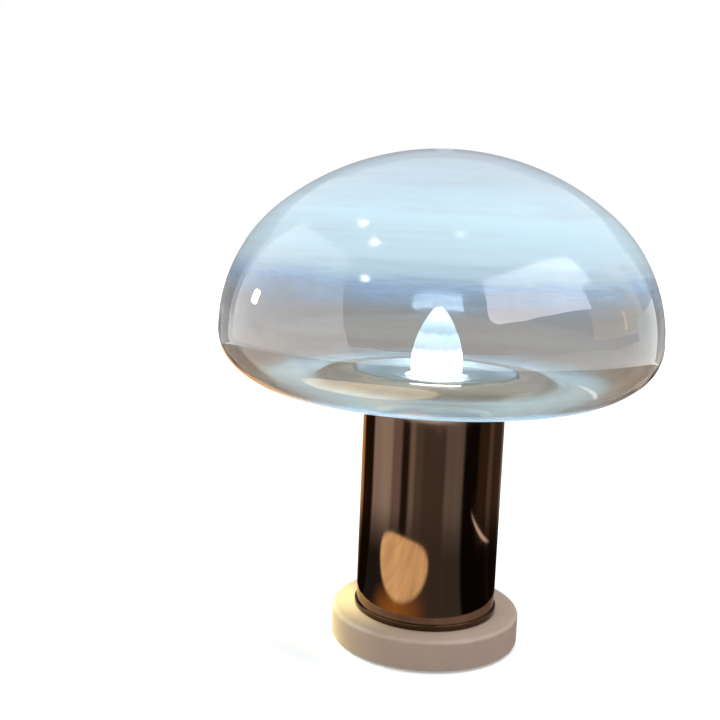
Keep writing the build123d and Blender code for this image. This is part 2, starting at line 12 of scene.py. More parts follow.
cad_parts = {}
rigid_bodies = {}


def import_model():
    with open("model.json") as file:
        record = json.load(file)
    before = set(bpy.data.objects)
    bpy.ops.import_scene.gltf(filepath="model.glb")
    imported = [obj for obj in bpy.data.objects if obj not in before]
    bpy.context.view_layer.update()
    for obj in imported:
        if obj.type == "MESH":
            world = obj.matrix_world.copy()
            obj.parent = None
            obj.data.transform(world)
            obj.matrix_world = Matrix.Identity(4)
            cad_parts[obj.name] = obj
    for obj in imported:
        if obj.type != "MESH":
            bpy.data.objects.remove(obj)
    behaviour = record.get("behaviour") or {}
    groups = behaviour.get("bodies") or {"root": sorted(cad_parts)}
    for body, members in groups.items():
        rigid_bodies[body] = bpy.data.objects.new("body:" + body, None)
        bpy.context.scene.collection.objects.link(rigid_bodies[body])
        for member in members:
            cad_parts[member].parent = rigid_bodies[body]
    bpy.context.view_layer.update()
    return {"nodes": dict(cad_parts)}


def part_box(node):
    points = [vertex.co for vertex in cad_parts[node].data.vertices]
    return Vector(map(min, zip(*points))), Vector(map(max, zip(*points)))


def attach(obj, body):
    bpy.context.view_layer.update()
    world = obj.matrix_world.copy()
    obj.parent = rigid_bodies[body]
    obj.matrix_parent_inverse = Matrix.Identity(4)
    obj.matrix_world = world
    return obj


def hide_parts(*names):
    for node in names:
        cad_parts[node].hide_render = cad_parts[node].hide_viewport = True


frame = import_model()

MM = 0.001
ROUND_STEPS = 192
SMALL_ROUND_STEPS = 96
SMOOTH_ANGLE = math.radians(35.0)
MERGE_DISTANCE = 1e-6
LOG = logging.getLogger("lamp")
WHITE = (1.0, 1.0, 1.0)
CORNER_SEGMENTS = 5

Colour = tuple[float, float, float]
Point = tuple[float, float, float]
Pair = tuple[float, float]
Arc = tuple[Pair, float, int]
Socket = bpy.types.NodeSocket
Material = bpy.types.Material
Piece = bpy.types.Object


# ------------------------------------------------------------------ modelling

def deselect_all() -> None:
    """Clears the selection, so that an operator acts on the new piece alone."""
    for item in bpy.data.objects:
        item.select_set(False)


def make_active(piece: Piece) -> None:
    """Selects one piece alone and makes it the active object.

    Args:
        piece: The piece.
    """
    deselect_all()
    piece.select_set(True)
    bpy.context.view_layer.objects.active = piece


def finish_mesh(piece: Piece) -> Piece:
    """Merges doubles, turns the faces outwards and shades the piece smooth.

    Args:
        piece: The mesh, in object mode.

    Returns:
        The same piece.
    """
    make_active(piece)
    bpy.ops.object.mode_set(mode="EDIT")
    bpy.ops.mesh.select_all(action="SELECT")
    bpy.ops.mesh.remove_doubles(threshold=MERGE_DISTANCE)
    bpy.ops.mesh.normals_make_consistent(inside=False)
    bpy.ops.object.mode_set(mode="OBJECT")
    bpy.ops.object.shade_smooth_by_angle(angle=SMOOTH_ANGLE)
    return piece


class Outline:
    """A half outline in the XZ plane, drawn by extruding a point, then turned about the Z axis."""

    def __init__(self, name: str, radius: float, height: float) -> None:
        """Starts the outline at one point.

        Args:
            name: Name of the piece.
            radius: Distance of the first point from the axis.
            height: Height of the first point.
        """
        deselect_all()
        bpy.ops.mesh.primitive_plane_add(size=MM, location=(radius, 0, height))
        self.piece = bpy.context.object
        self.piece.name = name
        self.piece.data.name = name
        bpy.ops.object.transform_apply(location=True)
        bpy.ops.object.mode_set(mode="EDIT")
        bpy.ops.mesh.select_all(action="SELECT")
        bpy.ops.mesh.merge(type="CENTER")
        self.radius = radius
        self.height = height
        self.rounds: list[Point] = []

    def to(self, radius: float, height: float, rounding: float = 0.0) -> "Outline":
        """Extrudes the end point in a straight line.

        Args:
            radius: Distance of the new point from the axis.
            height: Height of the new point.
            rounding: How far the corner at the new point is rounded back, or 0 for a sharp one.

        Returns:
            The outline itself.
        """
        step = (radius - self.radius, 0, height - self.height)
        bpy.ops.mesh.extrude_region_move(TRANSFORM_OT_translate={"value": step})
        self.radius = radius
        self.height = height
        if rounding:
            self.rounds.append((radius, height, rounding))
        return self

    def arc(self, centre: Pair, degrees: float, steps: int) -> None:
        """Spins the end point round a centre, anticlockwise where degrees is positive.

        Args:
            centre: Radius and height of the arc's centre.
            degrees: Angle of the arc.
            steps: Number of edges.
        """
        turn = math.radians(degrees)
        bpy.ops.mesh.spin(steps=steps, angle=turn, center=(centre[0], 0, centre[1]), axis=(0, 1, 0))
        across = self.radius - centre[0]
        up = self.height - centre[1]
        self.radius = centre[0] + across * math.cos(turn) - up * math.sin(turn)
        self.height = centre[1] + across * math.sin(turn) + up * math.cos(turn)

    def arcs(self, stretches: Sequence[Arc]) -> None:
        """Draws arcs one after the other."""
        for centre, degrees, steps in stretches:
            self.arc(centre, degrees, steps)

    def arcs_back(self, stretches: Sequence[Arc]) -> None:
        """Draws the same arcs from the last one back to the first."""
        for centre, degrees, steps in reversed(stretches):
            self.arc(centre, -degrees, steps)

    def round_corners(self) -> None:
        """Bevels the corners that were marked for rounding."""
        for radius, height, rounding in self.rounds:
            bpy.ops.mesh.select_all(action="DESELECT")
            bpy.ops.object.mode_set(mode="OBJECT")
            corner = Vector((radius, 0, height))
            nearest = min(self.piece.data.vertices, key=lambda point: (point.co - corner).length)
            nearest.select = True
            bpy.ops.object.mode_set(mode="EDIT")
            bpy.ops.mesh.select_mode(type="VERT")
            bpy.ops.mesh.bevel(offset=rounding, segments=CORNER_SEGMENTS, affect="VERTICES")

    def turn(self, steps: int = ROUND_STEPS) -> Piece:
        """Rounds the marked corners and turns the outline about the Z axis.

        Args:
            steps: Number of faces round the axis.

        Returns:
            The finished piece.
        """
        self.round_corners()
        bpy.ops.mesh.select_all(action="SELECT")
        bpy.ops.mesh.spin(steps=steps, angle=2 * math.pi, center=(0, 0, 0), axis=(0, 0, 1))
        bpy.ops.object.mode_set(mode="OBJECT")
        return finish_mesh(self.piece)


def tube(name: str, outer: float, inner: float, low: float, high: float, edge: float) -> Piece:
    """Turns a plain tube or ring with rounded edges.

    Args:
        name: Name of the piece.
        outer: Outer radius.
        inner: Inner radius.
        low: Height of the lower face.
        high: Height of the upper face.
        edge: Rounding of the four edges.

    Returns:
        The finished piece.
    """
    pen = Outline(name, inner, (low + high) / 2)
    pen.to(inner, low, edge).to(outer, low, edge).to(outer, high, edge).to(inner, high, edge)
    pen.to(inner, (low + high) / 2)
    return pen.turn()


# ------------------------------------------------------------------ materials

class Graph:
    """A short way to write one material's nodes."""

    def __init__(self, name: str) -> None:
        """Makes an empty material with its output.

        Args:
            name: The material's name.
        """
        self.material = bpy.data.materials.new(name)
        self.material.use_nodes = True
        self.tree = self.material.node_tree
        self.tree.nodes.clear()
        self.output = self.tree.nodes.new("ShaderNodeOutputMaterial")
        self.place = self.add("ShaderNodeTexCoord").outputs["Object"]

    def add(self, kind: str, inputs: dict | None = None, **settings: object) -> bpy.types.Node:
        """Adds a node.

        Args:
            kind: Blender's name of the node.
            inputs: Values or sockets by input name or number.
            settings: Properties of the node.

        Returns:
            The node.
        """
        node = self.tree.nodes.new(kind)
        for key, value in settings.items():
            setattr(node, key, value)
        for key, value in (inputs or {}).items():
            if isinstance(value, Socket):
                self.tree.links.new(value, node.inputs[key])
            else:
                node.inputs[key].default_value = value
        return node

    def height(self) -> Socket:
        """Height above the table, in metres."""
        return self.add("ShaderNodeSeparateXYZ", {0: self.place}).outputs["Z"]

    def across(self) -> Socket:
        """Distance from the lamp's axis, in metres."""
        flat = self.add("ShaderNodeVectorMath", {0: self.place, 1: (1, 1, 0)}, operation="MULTIPLY")
        return self.add("ShaderNodeVectorMath", {0: flat.outputs[0]}, operation="LENGTH").outputs["Value"]

    def stretched(self, scale: Point) -> Socket:
        """Object coordinates with their own scale on each axis."""
        return self.add("ShaderNodeMapping", {"Vector": self.place, "Scale": scale}).outputs[0]

    def spun(self) -> Socket:
        """Coordinates that change only with radius and height, for marks left by turning."""
        return self.add("ShaderNodeCombineXYZ", {0: self.across(), 2: self.height()}).outputs[0]

    def noise(self, scale: float, detail: float = 3.0, roughness: float = 0.5,
              place: Socket | None = None) -> Socket:
        """Noise from 0 to 1, with so many spots a metre, on Object coordinates unless others are given."""
        inputs = {"Vector": place or self.place, "Scale": scale, "Detail": detail, "Roughness": roughness}
        return self.add("ShaderNodeTexNoise", inputs).outputs[0]

    def fade(self, value: Socket, low: float, high: float, start: float = 0.0,
             end: float = 1.0) -> Socket:
        """Maps a value smoothly from low to high onto start to end, and clamps it."""
        inputs = {"Value": value, "From Min": low, "From Max": high, "To Min": start, "To Max": end}
        return self.add("ShaderNodeMapRange", inputs, interpolation_type="SMOOTHSTEP").outputs[0]

    def level(self, value: Socket, low: float, high: float) -> Socket:
        """Maps a value's range evenly to 0 to 1, and clamps it."""
        inputs = {"Value": value, "From Min": low, "From Max": high}
        return self.add("ShaderNodeMapRange", inputs).outputs[0]

    def azimuth(self) -> Socket:
        """Angle about the axis from 0 to 1, with 0.5 at the front and more towards +X.

        Returns:
            The angle.
        """
        turned = self.add("ShaderNodeMapping", {"Vector": self.place, "Rotation": (0.0, 0.0, math.pi / 2)})
        gradient = self.add("ShaderNodeTexGradient", {0: turned.outputs[0]}, gradient_type="RADIAL")
        return gradient.outputs["Fac"]

    def patch(self, centre: Pair, half: Pair, angle: float,
              soft: float) -> Socket:
        """An oval patch on the floor plan, 1 inside and 0 outside.

        Args:
            centre: Its middle in X and Y.
            half: Its half lengths.
            angle: Turn of the first half length from +X, in degrees.
            soft: Share of the half lengths over which it fades.

        Returns:
            The share of the patch.
        """
        inputs = {"Vector": self.place, "Location": (*centre, 0.0),
                  "Rotation": (0.0, 0.0, math.radians(angle)), "Scale": (*half, 1.0)}
        local = self.add("ShaderNodeMapping", inputs, vector_type="TEXTURE").outputs[0]
        flat = self.add("ShaderNodeVectorMath", {0: local, 1: (1, 1, 0)}, operation="MULTIPLY").outputs[0]
        reach = self.add("ShaderNodeVectorMath", {0: flat}, operation="LENGTH").outputs["Value"]
        return self.fade(reach, 1.0 - soft, 1.0, 1.0, 0.0)

    def math(self, operation: str, first: object, second: object) -> Socket:
        """Joins two values or sockets by one operation."""
        return self.add("ShaderNodeMath", {0: first, 1: second}, operation=operation).outputs[0]

    def ramp(self, value: Socket, stops: Sequence[tuple[float, Colour]]) -> Socket:
        """Colours along a value.

        Args:
            value: The value, from 0 to 1.
            stops: Places and linear colours, in order.

        Returns:
            The colour.
        """
        node = self.add("ShaderNodeValToRGB", {0: value})
        elements = node.color_ramp.elements
        while len(elements) < len(stops):
            elements.new(1.0)
        for element, (place, colour) in zip(elements, stops):
            element.position = place
            element.color = (*colour, 1.0)
        return node.outputs[0]

    def blend(self, share: object, first: object, second: object) -> Socket:
        """Mixes two colours or colour sockets by a share.

        Args:
            share: Share of the second one, from 0 to 1.
            first: The first colour.
            second: The second colour.

        Returns:
            The mixed colour.
        """
        colours = [value if isinstance(value, Socket) else (*value, 1.0)
                   for value in (first, second)]
        inputs = {0: share, 6: colours[0], 7: colours[1]}
        return self.add("ShaderNodeMix", inputs, data_type="RGBA").outputs[2]

    def bump(self, height: Socket, distance: float, strength: float = 1.0) -> Socket:
        """Turns a value from 0 to 1 into a bumped normal, with the relief's depth in metres."""
        inputs = {"Strength": strength, "Distance": distance, "Height": height}
        return self.add("ShaderNodeBump", inputs).outputs[0]

    def principled(self, inputs: dict) -> bpy.types.Node:
        """Adds the main shader."""
        return self.add("ShaderNodeBsdfPrincipled", inputs)

    def surface(self, inputs: dict) -> Material:
        """Finishes a material that is the main shader alone."""
        return self.done(self.principled(inputs))

    def glowing(self, tone: Socket) -> Material:
        """Finishes a material that only glows."""
        return self.done(self.add("ShaderNodeEmission", {0: tone, 1: 1.0}))

    def done(self, shader: bpy.types.Node) -> Material:
        """Links a shader to the output and returns the material."""
        self.tree.links.new(shader.outputs[0], self.output.inputs["Surface"])
        return self.material


def scaled(colour: Colour, share: float) -> Colour:
    """A lighter or darker shade of a colour."""
    return (colour[0] * share, colour[1] * share, colour[2] * share)


class Grain(Enum):
    """Direction of the fine lines that making leaves in a metal."""

    SPUN = "rings about the axis"
    TUMBLED = "no direction"


@dataclass(frozen=True)
class Metal:
    """Bare or plated metal with fine lines, smudges and tarnish."""

    name: str
    colour: Colour
    grain: Grain
    polish: float = 0.3
    smudge: float = 0.12
    line_depth: float = 2e-6
    tarnish: Colour = (0.6, 0.5, 0.4)
    tarnish_share: float = 0.3
    line_scale: float = 2600.0
    cloud_scale: float = 38.0
    spot_scale: float = 260.0

    def make(self) -> Material:
        """Builds the material.

        Returns:
            The material.
        """
        graph = Graph(self.name)
        along = graph.spun() if self.grain is Grain.SPUN else graph.place
        lines = graph.noise(self.line_scale, 4.0, 0.65, along)
        clouds = graph.noise(self.cloud_scale, 5.0, 0.6)
        spots = graph.noise(self.spot_scale, 4.0, 0.7)
        stain = graph.math("MULTIPLY", graph.fade(clouds, 0.45, 0.8), self.tarnish_share)
        tone = graph.ramp(lines, [(0.25, scaled(self.colour, 0.86)), (0.75, scaled(self.colour, 1.1))])
        tone = graph.blend(stain, tone, self.tarnish)
        rough = graph.math("ADD", graph.fade(clouds, 0.3, 0.75, self.polish, self.polish + self.smudge),
                           graph.fade(spots, 0.55, 0.8, 0.0, self.smudge / 2))
        return graph.surface({
            "Base Color": tone, "Metallic": 1.0, "Roughness": rough,
            "Normal": graph.bump(lines, self.line_depth)})


@dataclass(frozen=True)
class DarkBronze:
    """Polished dark bronze plating on the stem: a mirror with fine drawn lines and a worn, lighter top and
    foot.
    """

    name: str = "dark_bronze_plating"
    colour: Colour = (0.253, 0.171, 0.125)
    deep: Colour = (0.200, 0.128, 0.091)
    edge_tone: Colour = (0.30, 0.21, 0.155)
    foot: float = 0.0234
    top: float = 0.1845
    rub_reach: float = 0.0014
    edge_share: float = 0.7
    line_scale: float = 1900.0
    line_depth: float = 1.2e-6
    band_scale: float = 95.0
    cloud_scale: float = 30.0
    print_scale: float = 420.0
    polish: Pair = (0.045, 0.085)
    smudge: float = 0.10
    edge_tint: Colour = (0.75, 0.68, 0.62)

    def make(self) -> Material:
        """Builds the material.

        Returns:
            The material.
        """
        graph = Graph(self.name)
        height = graph.height()
        lines = graph.noise(self.line_scale, 3.0, 0.6, graph.stretched((1.0, 1.0, 0.012)))
        bands = graph.noise(self.band_scale, 2.0, 0.5, graph.stretched((1.0, 1.0, 0.05)))
        clouds = graph.noise(self.cloud_scale, 5.0, 0.62)
        prints = graph.noise(self.print_scale, 3.0, 0.6)
        tone = graph.ramp(bands, [(0.3, self.deep), (0.7, self.colour)])
        low = graph.fade(height, self.foot, self.foot + self.rub_reach, 1.0, 0.0)
        high = graph.fade(height, self.top - self.rub_reach, self.top, 0.0, 1.0)
        worn = graph.math("MULTIPLY", graph.math("MAXIMUM", low, high), graph.fade(prints, 0.35, 0.65))
        tone = graph.blend(graph.math("MULTIPLY", worn, self.edge_share), tone, self.edge_tone)
        smudges = graph.math("MULTIPLY", graph.fade(clouds, 0.5, 0.75), graph.fade(prints, 0.35, 0.7))
        rough = graph.math("ADD", graph.fade(clouds, 0.3, 0.7, *self.polish),
                           graph.math("MULTIPLY", smudges, self.smudge))
        normal = graph.bump(lines, self.line_depth)
        return graph.surface({
            "Base Color": tone, "Metallic": 1.0, "Roughness": rough, "Normal": normal,
            "Specular Tint": (*self.edge_tint, 1.0)})


@dataclass(frozen=True)
class BlownGlass:
    """Blown glass: milky pale blue at the crown, fading to clear, smoky, faintly mirrored glass below.

    The lowest ring and the bend up to the mouth are milky again. The ring's pale tone and its glow are
    painted light for the bright band that the bulb lights in the rim; the milky dome's faint glow is painted
    bulb light, and its darker crown is painted shade.
    """

    name: str = "blown_glass"
    lowest: float = 0.1772
    crown: float = 0.3415
    clear_below: float = 0.246
    milky_above: float = 0.269
    ring_milky_below: float = 0.1785
    ring_clear_above: float = 0.1865
    ring_milk: float = 0.75
    bend: Pair = (0.188, 0.196)
    mouth_milky: float = 0.066
    mouth_clear: float = 0.094
    mouth_milk: float = 0.80
    density: float = 0.94
    sway: float = 0.004
    mirror: float = 0.12
    milk_mirror: float = 0.05
    clear_roughness: float = 0.012
    milk_roughness: float = 0.11
    dust_roughness: float = 0.03
    low_roughness: float = 0.10
    low_reach: Pair = (0.190, 0.204)
    haze_share: float = 0.16
    ripple_depth: float = 0.00035
    index: float = 1.42
    # The crown tone is painted shade: the milky glass darkens towards the crown.
    crown_painted_shade: Colour = (0.38, 0.435, 0.515)
    milk_tone: Colour = (0.60, 0.79, 0.89)
    fade_tone: Colour = (0.40, 0.55, 0.73)
    smoke_tone: Colour = (0.45, 0.465, 0.485)
    amber_tone: Colour = (0.58, 0.505, 0.43)
    # The ring's pale tone is painted light: the bright band that the bulb lights in the thick rim.
    ring_painted_light: Colour = (0.68, 0.80, 0.88)
    haze_tone: Colour = (0.36, 0.33, 0.30)
    shadow_tone: Colour = (0.965, 0.98, 0.99)
    glow: Colour = (0.56, 0.82, 1.0)
    # Painted glow: emission standing in for the bulb's light, faint in the milky dome and stronger in the
    # rim.
    dome_painted_glow: float = 0.03
    ring_painted_glow: float = 0.55

    def share(self, height: float) -> float:
        """Place of a height on the scale from the lowest ring to the crown."""
        return (height - self.lowest) / (self.crown - self.lowest)

    def tones(self) -> list[tuple[float, Colour]]:
        """Tones of the glass from the lowest ring up to the crown.

        Returns:
            Places from 0 to 1, each with its tone.
        """
        # At the ends of this ramp, the ring's tone is painted light and the crown's tone is painted shade.
        heights = [(self.lowest, self.ring_painted_light), (0.1815, self.ring_painted_light), (0.1885, self.amber_tone),
                   (0.205, self.amber_tone), (0.222, self.smoke_tone), (0.243, self.smoke_tone),
                   (0.260, self.fade_tone), (0.273, self.milk_tone), (0.298, self.milk_tone),
                   (self.crown, self.crown_painted_shade)]
        return [(self.share(height), tone) for height, tone in heights]

    def make(self) -> Material:
        """Builds the material.

        Returns:
            The material.
        """
        graph = Graph(self.name)
        height = graph.height()
        streaks = graph.noise(46.0, 4.0, 0.6, graph.stretched((0.35, 0.35, 3.0)))
        swayed = graph.math("ADD", height, graph.fade(streaks, 0.2, 0.8, -self.sway, self.sway))
        dome_milk = graph.fade(swayed, self.clear_below, self.milky_above)
        # The rim band: milkier glass, whose mask also sets the rim's painted glow.
        ring_milk = graph.fade(height, self.ring_milky_below, self.ring_clear_above, self.ring_milk, 0.0)
        mouth_milk = graph.math(
            "MULTIPLY", graph.fade(height, *self.bend, 1.0, 0.0),
            graph.fade(graph.across(), self.mouth_milky, self.mouth_clear, self.mouth_milk, 0.0))
        milk = graph.math("MAXIMUM", dome_milk, graph.math("MAXIMUM", ring_milk, mouth_milk))
        tone = graph.ramp(graph.level(swayed, self.lowest, self.crown), self.tones())
        haze = graph.noise(30.0, 5.0, 0.65, graph.stretched((0.25, 0.25, 5.0)))
        tone = graph.blend(graph.fade(haze, 0.42, 0.72, 0.0, self.haze_share), tone, self.haze_tone)
        ripple = graph.noise(24.0, 2.0, 0.4, graph.stretched((1.0, 1.0, 1.6)))
        glass = graph.principled({
            "Base Color": tone, "Roughness": self.roughness(graph, dome_milk), "IOR": self.index,
            "Metallic": graph.fade(milk, 0.0, 1.0, self.mirror, self.milk_mirror),
            "Transmission Weight": graph.math("SUBTRACT", 1.0, graph.math("MULTIPLY", milk, self.density)),
            "Normal": graph.bump(ripple, self.ripple_depth), "Emission Color": (*self.glow, 1.0),
            # Painted light: this emission is a glow in the milky dome and the rim that stands in for the
            # bulb's light.
            "Emission Strength": graph.math("ADD", graph.math("MULTIPLY", dome_milk, self.dome_painted_glow),
                                            graph.math("MULTIPLY", ring_milk, self.ring_painted_glow))})
        shadow = graph.add("ShaderNodeBsdfTransparent", {0: (*self.shadow_tone, 1.0)})
        side = graph.add("ShaderNodeLightPath").outputs["Is Shadow Ray"]
        shaders = {0: side, 1: glass.outputs[0], 2: shadow.outputs[0]}
        return graph.done(graph.add("ShaderNodeMixShader", shaders))

    def roughness(self, graph: Graph, dome_milk: Socket) -> Socket:
        """Roughness: smooth where clear, satin where milky or low down, with a little dust.

        Args:
            graph: The material's nodes.
            dome_milk: Share of milk in the dome.

        Returns:
            The roughness.
        """
        height = graph.height()
        dust = graph.noise(520.0, 4.0, 0.7)
        rough = graph.math(
            "ADD", graph.fade(dome_milk, 0.0, 1.0, self.clear_roughness, self.milk_roughness),
            graph.fade(dust, 0.6, 0.85, 0.0, self.dust_roughness))
        return graph.math("MAXIMUM", rough, graph.fade(height, *self.low_reach, self.low_roughness, 0.0))


@dataclass(frozen=True)
class PaintedBase:
    """Matt cream powder coat with a fine texture, faint specks, and a patchy lighter band on the upper outer
    edge that is a painted edge highlight.
    """

    name: str = "cream_powder_coat"
    colour: Colour = (0.50, 0.368, 0.283)
    shade: Colour = (0.45, 0.325, 0.247)
    # Edge tone: a painted edge highlight on the upper outer edge, broken up by noise.
    edge_tone: Colour = (0.58, 0.50, 0.43)
    rim: float = 0.066
    top: float = 0.0222
    edge: Pair = (0.0032, 0.0006)
    edge_share: float = 0.4
    speck_share: float = 0.35
    speck_shade: float = 0.55
    roughness: Pair = (0.52, 0.66)
    grit_depth: float = 0.00003

    def make(self) -> Material:
        """Builds the material.

        Returns:
            The material.
        """
        graph = Graph(self.name)
        clouds = graph.noise(34.0, 4.0, 0.6)
        grit = graph.noise(1500.0, 3.0, 0.6)
        specks = graph.noise(900.0, 2.0, 0.5)
        tone = graph.ramp(clouds, [(0.3, self.shade), (0.7, self.colour)])
        dark = scaled(self.shade, self.speck_shade)
        tone = graph.blend(graph.fade(specks, 0.70, 0.78, 0.0, self.speck_share), tone, dark)
        start, end = self.edge
        outer = graph.fade(graph.across(), self.rim - start, self.rim - end)
        upper = graph.fade(graph.height(), self.top - start, self.top - end)
        # Painted edge highlight: a patchy lighter band where the top meets the outer side.
        edge = graph.math("MULTIPLY", graph.math("MULTIPLY", outer, upper), graph.fade(clouds, 0.4, 0.62))
        tone = graph.blend(graph.math("MULTIPLY", edge, self.edge_share), tone, self.edge_tone)
        return graph.surface({
            "Base Color": tone, "Roughness": graph.fade(grit, 0.3, 0.7, *self.roughness),
            "Normal": graph.bump(grit, self.grit_depth, 0.8)})


@dataclass(frozen=True)
class Moulded:
    """Moulded plastic, rubber or foam with a fine texture and slight variation in tone."""

    name: str
    colour: Colour
    roughness: float = 0.45
    texture: float = 700.0
    depth: float = 1e-5
    specks: float = 0.12
    subsurface: float = 0.0
    subsurface_reach: float = 0.002
    roughness_range: Pair = (-0.06, 0.08)

    def make(self) -> Material:
        """Builds the material.

        Returns:
            The material.
        """
        graph = Graph(self.name)
        clouds = graph.noise(60.0, 4.0, 0.6)
        grit = graph.noise(self.texture, 3.0, 0.6)
        tone = graph.ramp(clouds, [(0.3, scaled(self.colour, 1.0 - self.specks)), (0.7, self.colour)])
        smooth, coarse = (self.roughness + step for step in self.roughness_range)
        rough = graph.fade(grit, 0.3, 0.7, smooth, coarse)
        return graph.surface({
            "Base Color": tone, "Roughness": rough, "Normal": graph.bump(grit, self.depth),
            "Subsurface Weight": self.subsurface, "Subsurface Scale": self.subsurface_reach})


@dataclass(frozen=True)
class OpalGlow:
    """Opal bulb envelope, lit from inside: brightest round its ball, with a darker band below the tip."""

    name: str = "opal_glow"
    colour: Colour = (0.93, 0.97, 1.0)
    rim: float = 0.1833
    tip: float = 0.2353
    glow: Colour = (0.80, 0.96, 1.0)
    full: float = 14.0
    fold_sway: float = 0.0012
    roughness: Pair = (0.22, 0.34)
    mottle_depth: float = 0.00002

    def brightness(self) -> list[tuple[float, Colour]]:
        """Shares of the full glow from the rim up to the tip.

        Returns:
            Places from 0 to 1, each with its share as a grey.
        """
        # The rise at 0.2285, below the tip, is a painted highlight.
        heights = [(0.1835, 0.30), (0.187, 1.0), (0.2035, 1.0), (0.2075, 0.10), (0.2095, 0.11),
                   (0.2165, 0.11), (0.2190, 0.018), (0.2240, 0.020), (0.2285, 0.060), (self.tip, 0.024)]
        return [((height - self.rim) / (self.tip - self.rim), (share, share, share))
                for height, share in heights]

    def make(self) -> Material:
        """Builds the material.

        Returns:
            The material.
        """
        graph = Graph(self.name)
        mottle = graph.noise(90.0, 4.0, 0.6)
        folds = graph.noise(160.0, 3.0, 0.55, graph.stretched((1.0, 1.0, 0.6)))
        sway = graph.fade(folds, 0.2, 0.8, -self.fold_sway, self.fold_sway)
        swayed = graph.math("ADD", graph.height(), sway)
        glow = graph.ramp(graph.level(swayed, self.rim, self.tip), self.brightness())
        uneven = graph.math("MULTIPLY", glow, graph.fade(mottle, 0.25, 0.75, 0.8, 1.05))
        return graph.surface({
            "Base Color": graph.ramp(mottle, [(0.3, scaled(self.colour, 0.94)), (0.7, self.colour)]),
            "Roughness": graph.fade(mottle, 0.3, 0.7, *self.roughness),
            "Normal": graph.bump(mottle, self.mottle_depth), "Emission Color": (*self.glow, 1.0),
            "Emission Strength": graph.math("MULTIPLY", uneven, self.full)})


def dress(material: Material, *names: str) -> None:
    """Gives carried-over CAD nodes a finish.

    Args:
        material: The finish.
        names: The nodes.
    """
    for name in names:
        node = frame["nodes"][name]
        if not node.material_slots:
            node.data.materials.append(material)
        for holder in node.material_slots:
            holder.material = material


def place_piece(piece: Piece, body: str, slot: str, material: Material, *replaced: str) -> None:
    """Hangs a new piece on its body and gives it its finish.

    Args:
        piece: The new piece.
        body: The CAD body that it rides on.
        slot: The record's material slot; not used.
        material: The finish.
        replaced: CAD nodes that it stands for.
    """
    piece.data.materials.clear()
    piece.data.materials.append(material)
    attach(piece, body)
    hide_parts(*replaced)


# ------------------------------------------------------------------ sub-assemblies

def oval_arcs(width: float, height: float, meet: float) -> Pair:
    """Radii of two tangent arcs that make a quarter of an oval.

    Args:
        width: Half width of the oval.
        height: Half height of the oval.
        meet: Angle that the side arc climbs before the top arc takes over, in degrees.

    Returns:
        Radius of the side arc and radius of the top arc.
    """
    angle = math.radians(meet)
    step = (width - height) / (math.cos(angle) + math.sin(angle) - 1)
    side = width - step * math.cos(angle)
    return side, side + step


class Assembly:
    """A group of pieces that is built, then given its finishes."""

    def build(self) -> None:
        """Makes the pieces that get a new shape. Where this isn't overridden, all keep their CAD shape."""

    def dress(self) -> None:
        """Gives the pieces their finishes."""


@dataclass
class GlassShade(Assembly):
    """The blown dome: crown, skirt, lowest ring, and the kick up to its flat lip."""

    dome_side_angle: float = 50.7
    skirt_side_angle: float = 47.8
    dome_height: float = 0.123
    kick_up: float = 0.0103
    lowest_ring: float = 0.0955
    lip: float = 0.0665
    mouth: float = 0.0575
    wall: float = 3.0 * MM
    steps: tuple[int, ...] = (26, 30, 20, 14, 6, 6)
    lip_steps: int = 10
    shell: Piece | None = None

    def build(self) -> None:
        """Draws the outer skin from the crown down to the lip, then the inner skin back up."""
        low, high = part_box("glass_shade")
        radius = high.x
        widest = high.z - self.dome_height
        pen = Outline("blown_glass_shade", 0.0, high.z)
        self.skin(pen, radius, widest, low.z, 0.0)
        lip_middle = low.z + self.kick_up + self.wall / 2
        lip_start = self.mouth + self.wall / 2
        pen.arc((lip_start, lip_middle), -180.0, self.lip_steps)
        self.skin(pen, radius, widest, low.z, self.wall)
        self.shell = pen.turn()

    def skin(self, pen: Outline, radius: float, widest: float, lowest: float, inset: float) -> None:
        """Draws one skin, from crown to lip for the outer one and from lip to crown for the inner one.

        Args:
            pen: The outline so far.
            radius: Half width of the dome.
            widest: Height of its widest line.
            lowest: Height of its lowest ring.
            inset: Distance inside the outer skin.
        """
        dome_side, dome_top = oval_arcs(radius - inset, self.dome_height - inset, self.dome_side_angle)
        drop = widest - lowest - inset
        skirt_side, skirt_low = oval_arcs(radius - inset - self.lowest_ring, drop, self.skirt_side_angle)
        run = self.lowest_ring - self.lip
        bend = (run ** 2 + self.kick_up ** 2) / (4 * self.kick_up)
        sweep = math.degrees(math.asin(run / 2 / bend))
        lip_height = lowest + self.kick_up + inset
        lip_start = self.mouth + self.wall / 2
        crown_rest = 90.0 - self.dome_side_angle
        skirt_rest = 90.0 - self.skirt_side_angle
        dome_centre = (radius - inset - dome_side, widest)
        skirt_centre = (radius - inset - skirt_side, widest)
        crown_centre = (0.0, widest + self.dome_height - inset - dome_top)
        low_centre = (self.lowest_ring, widest - drop + skirt_low)
        ring_centre = (self.lowest_ring, lowest + bend)
        lip_centre = (self.lip, lowest + self.kick_up - bend)
        turns = [(crown_centre, -crown_rest), (dome_centre, -self.dome_side_angle),
                 (skirt_centre, -self.skirt_side_angle), (low_centre, -skirt_rest),
                 (ring_centre, -sweep), (lip_centre, sweep)]
        stretches = [(*turn, steps) for turn, steps in zip(turns, self.steps)]
        if inset == 0.0:
            pen.arcs(stretches)
            pen.to(lip_start, lip_height)
        else:
            pen.to(self.lip, lip_height)
            pen.arcs_back(stretches)

    def dress(self) -> None:
        """Gives the dome its glass."""
        place_piece(self.shell, "shade", "shade_glass", BlownGlass().make(), "glass_shade")


